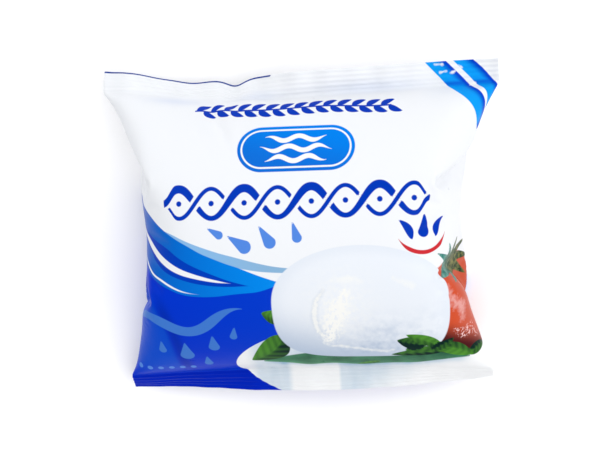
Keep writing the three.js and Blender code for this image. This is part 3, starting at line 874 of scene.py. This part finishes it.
class Shader:
    """Short ways to add nodes to a material or a world."""

    def __init__(self, owner, surface="Principled BSDF"):
        owner.use_nodes = True
        self.nodes, self.links = owner.node_tree.nodes, owner.node_tree.links
        self.surface = self.nodes[surface]
        self.noises = {}

    def feed(self, node, inputs):
        """Sets each input to its value, or links it to its socket."""
        for name, value in inputs.items():
            if isinstance(value, bpy.types.NodeSocket):
                self.links.new(value, node.inputs[name])
            else:
                node.inputs[name].default_value = value

    def add(self, kind, inputs):
        node = self.nodes.new("ShaderNode" + kind)
        self.feed(node, inputs)
        return node

    def value(self, name):
        node = self.nodes.new("ShaderNodeAttribute")
        node.attribute_name = name
        return node.outputs["Fac"]

    def math(self, operation, first, second=0.0, clamp=False):
        node = self.nodes.new("ShaderNodeMath")
        node.operation, node.use_clamp = operation, clamp
        self.feed(node, {0: first, 1: second})
        return node.outputs[0]

    def times(self, first, second, clamp=False):
        return self.math("MULTIPLY", first, second, clamp)

    def mix(self, factor, first, second):
        node = self.nodes.new("ShaderNodeMix")
        node.data_type = "RGBA"
        self.feed(node, {"Factor": factor, 6: first, 7: second})
        return node.outputs[2]

    def noise(self, name):
        """One of the noises, made once."""
        if name not in self.noises:
            scale, detail, *stretch = NOISES[name]
            place = self.add("TexCoord", {}).outputs["Object"]
            place = self.add("Mapping", {"Scale": stretch or (1, 1, 1), "Vector": place}).outputs["Vector"]
            noise = self.add("TexNoise", {"Scale": scale, "Detail": detail, "Vector": place})
            self.noises[name] = noise.outputs["Fac"]
        return self.noises[name]

    def inside(self, distance, softness=EDGE):
        return self.math("SUBTRACT", 0.5, self.math("DIVIDE", distance, softness), clamp=True)

    def line(self, distance, half):
        return self.inside(self.math("SUBTRACT", self.math("ABSOLUTE", distance), half))

    def field(self, name):
        return self.inside(self.value(name), SOFT_EDGES.get(name, EDGE))

    def thin(self, name):
        return self.line(self.value(name), self.value(name + "_half"))

    def two(self, name, tone):
        return self.mix(tone, *vars(COLOURS)[name])

    def swayed(self, tone, noise, most, clamp=True):
        """The tone, moved up and down by a noise."""
        return self.math("ADD", tone, self.patches(noise, 0.5, most, clamp=False), clamp)

    def patches(self, noise, start, gain, clamp=True):
        """A noise's rise above start, times gain."""
        return self.times(self.math("SUBTRACT", self.noise(noise), start), gain, clamp)

    def gleam(self, name):
        reach, softness, strength = GLEAMS[name]
        edge = self.inside(self.swayed(self.value(name), "ragged", reach, clamp=False), softness)
        return self.times(edge, self.patches(*strength) if isinstance(strength, tuple) else strength)


def wave_layers(s):
    """The blue fields, the pale and white blades that cross them, and the small shapes on them."""
    v, c = s.value, COLOURS
    royal = s.field("royal")
    on_azure = s.inside(s.times(v("azure"), -1))
    return [
        # painted shade of the soft dents below the head seal
        (s.times(v("head_tint"), 0.5), c.head_tint),
        (s.thin("pale"), s.two("pale", v("pale_tone"))),
        (s.field("azure"), s.two("azure", v("brightness"))),
        (royal, s.two("royal", v("lit"))),
        (s.times(v("crease_shade"), s.times(royal, 0.6)), c.crease_shade),
        (s.times(s.field("seal_part"), royal), c.seal_royal),
        (s.thin("lens"), c.dark),
        (s.thin("swoosh"), WHITE_FILM),
        (s.thin("thread"), WHITE_FILM),
        (s.thin("ribbon"), c.periwinkle[0]),
        (s.field("drops"), s.two("periwinkle", on_azure)),
        (s.field("dots"), c.periwinkle[1]),
    ]


def picture_layers(s):
    """The plate with its leaves, the tomato, and the ball."""
    v, c = s.value, COLOURS
    plate = s.field("plate")
    streaks = s.times(v("plate_shade"), s.math("ADD", s.noise("streaks"), 0.35), clamp=True)
    skin = s.mix(s.swayed(v("tomato_side"), "broad", 0.5), c.tomato, c.tomato_side)
    calyx, sepal = (s.two(name, v("calyx_tone")) for name in ("calyx", "sepal"))
    blotches = s.math("SUBTRACT", s.math("ADD", s.noise("soft_grain"), s.noise("broad")), 0.86)
    tone = s.math("ADD", v("ball_shade"), s.times(v("ball_grain"), blotches), clamp=True)
    beside_arc = s.inside(s.math("SUBTRACT", v("gleam_arc"), 0.5), SOFT_EDGES["arc_shade"])
    return [
        (plate, c.plate),
        (s.times(plate, streaks), c.plate_shade),
        (s.field("strip"), s.two("strip", s.swayed(v("strip_tone"), "broad", 0.9))),
        (s.field("leaves_behind"), s.two("leaf", v("leaves_behind_tone"))),
        (s.field("tomato"), s.mix(v("tomato_shade"), skin, c.tomato_shade)),
        (s.gleam("tomato_gleam"), c.tomato_gleam),
        (s.gleam("tomato_glint"), c.tomato_gleam),
        (s.field("calyx"), s.mix(s.patches("grain", 0.4, 3.0), calyx, sepal)),
        (s.field("ball"), s.two("ball", tone)),
        (s.times(beside_arc, 0.6), c.arc_shade),
        (s.gleam("foot_gleam"), c.gleam),
        (s.gleam("gleam_arc"), c.gleam),
        (s.times(v("gleam_haze"), s.patches("grain", 0.3, 1.6)), c.gleam),
        (s.gleam("gleam"), c.gleam),
        (s.gleam("glint"), c.gleam),
        (s.field("leaves_ahead"), s.two("leaf", v("leaves_ahead_tone"))),
    ]


def ornament_layers(s):
    """The ornaments, the mark, the bands, and the panels on the back."""
    v, c = s.value, COLOURS
    return [
        (s.field("braid"), c.ornament),
        (s.thin("stem"), c.ornament),
        (s.field("garland"), c.ornament),
        (s.field("label"), s.two("label", v("label_tone"))),
        (s.line(s.math("ADD", v("label"), 1.3), 0.26), c.gleam),  # a pale line inside its rim
        *[(s.thin(f"label_wave_{k}"), c.gleam) for k in range(len(LABEL_WAVES.heights))],
        (s.thin("arc"), c.arc),
        (s.field("mark_drop"), c.ornament),
        (s.field("mark_leaves"), c.ornament),
        # each band darker at its outer edge, and with painted shade along the head seal's fold
        *[(s.field(name), s.two("band", v(name + "_edge"))) for name in BANDS],
        (s.gleam("band_glints"), c.gleam),
        (s.field("cut_line"), c.cut_line),
        (s.field("panel"), WHITE_FILM),
        (s.line(v("panel"), 0.3), c.rules),
        (s.line(v("rules"), 0.22), c.rules),
    ]


def printed_film():
    material = bpy.data.materials.new("printed_film")
    s = Shader(material)
    paint = s.mix(s.times(s.noise("mottle"), 0.25), WHITE_FILM, COLOURS.film_mottle)
    for mask, colour in (*wave_layers(s), *picture_layers(s), *ornament_layers(s)):
        paint = s.mix(mask, paint, colour)
    roughness = s.math("ADD", 0.24, s.times(s.noise("mottle"), 0.12))
    s.feed(s.surface, {"Base Color": paint, "Roughness": roughness})
    s.feed(s.surface, {"Specular IOR Level": 0.05, "Specular Tint": (0.5, 0.8, 1.0, 1.0)})
    bump = s.add("Bump", {"Strength": 0.5, "Distance": 0.0002, "Height": s.noise("crinkle")})
    s.feed(s.surface, {"Normal": bump.outputs["Normal"]})
    return material


def add_object(name, data):
    made = bpy.data.objects.new(name, data)
    bpy.context.scene.collection.objects.link(made)
    return made


def make_pouch():
    skin = Skin(settled_film())
    mesh = bpy.data.meshes.new("pouch_film")
    mesh.from_pydata(skin.corner_points() / 1000, [], skin.triangles())
    drawn = Print(*skin.flat_places())
    for draw in (
        draw_fields, draw_bands, draw_plate, draw_ball, draw_tomato, draw_braid, draw_garland,
        draw_label, draw_flourishes, draw_strokes, draw_back,
    ):
        draw(drawn)
    for name, value in drawn.values.items():
        mesh.attributes.new(name, "FLOAT", "POINT").data.foreach_set("value", value)
    mesh.shade_smooth()
    mesh.set_sharp_from_angle(angle=math.radians(60))
    mesh.materials.append(printed_film())
    pouch = add_object("pouch_film", mesh)
    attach(pouch, "root")
    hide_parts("pouch")


# ---- Floor, light and camera, in metres ----
FLOOR_HALF = 3.0
FLOOR_TONES = (ink(250, 250, 252, 1), ink(252, 252, 253, 1))
WALL_LIGHT, CEILING_LIGHT = 0.82, 0.56
LIT_POINT = (0, 0, 0.015)
# Each light: place, size and power.
LIGHTS = dict(
    key=((0.5, -0.25, 0.8), 1.0, 5.6),
    fill=((-0.55, 0.55, 0.7), 0.8, 3.3),
    far_fill=((0.5, 0.65, 0.6), 0.8, 2.2),
)
CAMERA = Values(
    place=(0.0288, 0.0404, 0.3249), ahead=(-0.0934, -0.1225, -0.9881), up=(0.0298, 0.9916, -0.1258),
    sensor_width=36, lens=60,
)


def make_floor():
    corners = [(x * FLOOR_HALF, y * FLOOR_HALF, 0) for x, y in ((-1, -1), (1, -1), (1, 1), (-1, 1))]
    mesh = bpy.data.meshes.new("floor")
    mesh.from_pydata(corners, [], [(0, 1, 2, 3)])
    material = bpy.data.materials.new("floor")
    s = Shader(material)
    tone = s.mix(s.noise("floor"), *FLOOR_TONES)
    s.feed(s.surface, {"Base Color": tone, "Roughness": 0.9, "Specular IOR Level": 0.0})
    mesh.materials.append(material)
    floor = add_object("floor", mesh)


def make_light(name, place, size, power):
    light = bpy.data.lights.new(name, "AREA")
    light.shape, light.size, light.energy = "SQUARE", size, power
    lamp = add_object(name, light)
    lamp.location = place
    lamp.rotation_mode = "QUATERNION"
    lamp.rotation_quaternion = (Vector(LIT_POINT) - lamp.location).to_track_quat("-Z", "Y")


def make_world():
    """A white room whose walls are brighter than its ceiling."""
    world = bpy.data.worlds.new("studio")
    s = Shader(world, surface="Background")
    way = s.add("TexCoord", {}).outputs["Generated"]
    rise = s.add("SeparateXYZ", {"Vector": way}).outputs["Z"]
    light = s.add("MapRange", {"To Min": WALL_LIGHT, "To Max": CEILING_LIGHT, "Value": rise})
    s.feed(s.surface, {"Strength": light.outputs["Result"], "Color": (1, 1, 1, 1)})
    return world


def make_stage():
    make_floor()
    for name, form in LIGHTS.items():
        make_light(name, *form)
    bpy.context.scene.world = make_world()
    bpy.context.scene.view_settings.view_transform = "Standard"


def make_camera():
    camera = add_object("camera", bpy.data.cameras.new("camera"))
    camera.data.sensor_width, camera.data.lens = CAMERA.sensor_width, CAMERA.lens
    ahead, up = Vector(CAMERA.ahead), Vector(CAMERA.up)
    right = ahead.cross(up).normalized()
    turned = Matrix([right, right.cross(ahead), -ahead.normalized()]).transposed().to_4x4()
    camera.matrix_world = Matrix.Translation(CAMERA.place) @ turned
    bpy.context.scene.camera = camera


make_camera()
make_pouch()
make_stage()
